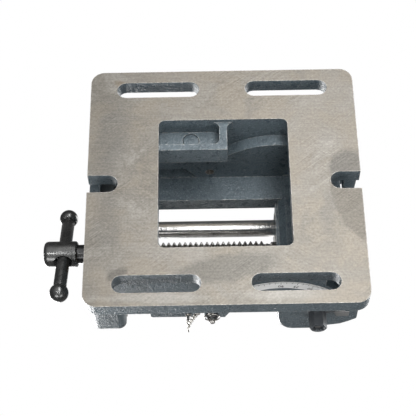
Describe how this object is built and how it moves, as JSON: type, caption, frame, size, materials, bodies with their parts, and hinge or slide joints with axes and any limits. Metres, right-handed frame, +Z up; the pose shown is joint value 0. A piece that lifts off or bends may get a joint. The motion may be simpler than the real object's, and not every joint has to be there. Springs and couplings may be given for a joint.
{
  "type": "tilting angle vise",
  "caption": "Angle vise: a screw-driven jaw on two guide rods, in a body that tilts between two slotted cheeks of a square base with a degree scale and a lock pin.",
  "frame": {"origin": "middle of the whole footprint, on the machined underside of the base plate; the plate's own middle is 20.3 mm toward -X", "axes": "+X along the screw toward the handle; -Y the side with the degree scale and the lock pin; +Z up from the base"},
  "size_m": [0.2226, 0.182, 0.1301],
  "materials": {
    "painted_casting": "blue-grey machinery paint on rough casting, bare ground metal on the machined faces",
    "black_handle": "black oxide",
    "bright_steel": "bright, ground or plated",
    "machined_steel": "machined",
    "dark_steel": "oiled, darkened",
    "scale_enamel": "white enamel with black marks",
    "bronze": "machined"
  },
  "bodies": {
    "base": {"base_casting": "painted_casting", "degree_scale": "scale_enamel", "blank_pad": "scale_enamel", "eye_screw": "bright_steel", "pin_chain": "bright_steel", "level_stop": "painted_casting"},
    "pin": {"lock_pin": "bright_steel", "lock_pin_grip": "dark_steel", "pin_ring": "bright_steel"},
    "vise_body": {"tilting_body": "painted_casting", "jaw_plate_fixed": "machined_steel", "jaw_screw_fixed_1": "dark_steel", "jaw_screw_fixed_2": "dark_steel", "guide_rod_1": "bright_steel", "guide_rod_2": "bright_steel", "rod_set_screw_1": "dark_steel", "rod_set_screw_2": "dark_steel", "clamp_stud_front_1": "dark_steel", "clamp_stud_front_2": "dark_steel", "clamp_stud_rear_1": "dark_steel", "clamp_stud_rear_2": "dark_steel", "clamp_washer_front_2": "dark_steel", "clamp_washer_rear_1": "dark_steel", "clamp_washer_rear_2": "dark_steel", "tilt_pointer": "bright_steel"},
    "jaw": {"movable_jaw": "painted_casting", "jaw_plate_movable": "machined_steel", "jaw_screw_movable_1": "dark_steel", "jaw_screw_movable_2": "dark_steel", "keeper_plate": "dark_steel", "keeper_screw_1": "dark_steel", "keeper_screw_2": "dark_steel", "screw_nut": "bronze"},
    "screw": {"lead_screw": "machined_steel", "screw_collar": "dark_steel", "collar_pin": "dark_steel", "handle_hub": "black_handle", "hub_pin": "dark_steel"},
    "bar": {"tommy_bar": "black_handle", "bar_ball_front": "black_handle", "bar_ball_rear": "black_handle"},
    "nut_front_1": {"clamp_nut_front_1": "dark_steel"},
    "nut_front_2": {"clamp_nut_front_2": "dark_steel"},
    "nut_rear_1": {"clamp_nut_rear_1": "dark_steel"},
    "nut_rear_2": {"clamp_nut_rear_2": "dark_steel"}
  },
  "joints": [
    {"name": "tilt", "type": "hinge", "parent": "base", "child": "vise_body", "pos_m": [-0.0576, 0, 0.07098], "axis": [0, -1, 0], "range_deg": [0, 90]},
    {"name": "screw_turn", "type": "hinge", "parent": "vise_body", "child": "screw", "pos_m": [-0.02029, 0, 0.09828], "axis": [-1, 0, 0], "range_deg": [0, 9882]},
    {"name": "jaw_slide", "type": "slide", "parent": "vise_body", "child": "jaw", "axis": [-1, 0, 0], "range_m": [0, 0.1098]},
    {"name": "bar_slide", "type": "slide", "parent": "screw", "child": "bar", "axis": [0, 0.9272, 0.3746], "range_m": [-0.0273, 0.0273]},
    {"name": "lock_pin_slide", "type": "slide", "parent": "base", "child": "pin", "axis": [0, 1, 0], "range_m": [0, 0.0075]},
    {"name": "clamp_front_1", "type": "hinge", "parent": "vise_body", "child": "nut_front_1", "pos_m": [-0.08293, -0.06552, 0.06917], "axis": [0, -1, 0], "range_deg": [0, 90]},
    {"name": "clamp_front_2", "type": "hinge", "parent": "vise_body", "child": "nut_front_2", "pos_m": [-0.0703, -0.06552, 0.04899], "axis": [0, -1, 0], "range_deg": [0, 90]},
    {"name": "clamp_rear_1", "type": "hinge", "parent": "vise_body", "child": "nut_rear_1", "pos_m": [-0.08293, 0.06552, 0.06917], "axis": [0, 1, 0], "range_deg": [0, 90]},
    {"name": "clamp_rear_2", "type": "hinge", "parent": "vise_body", "child": "nut_rear_2", "pos_m": [-0.0703, 0.06552, 0.04899], "axis": [0, 1, 0], "range_deg": [0, 90]}
  ],
  "couplings": [
    {"joint": "jaw_slide", "follows": "screw_turn", "m_per_rad": 0.00063662}
  ]
}
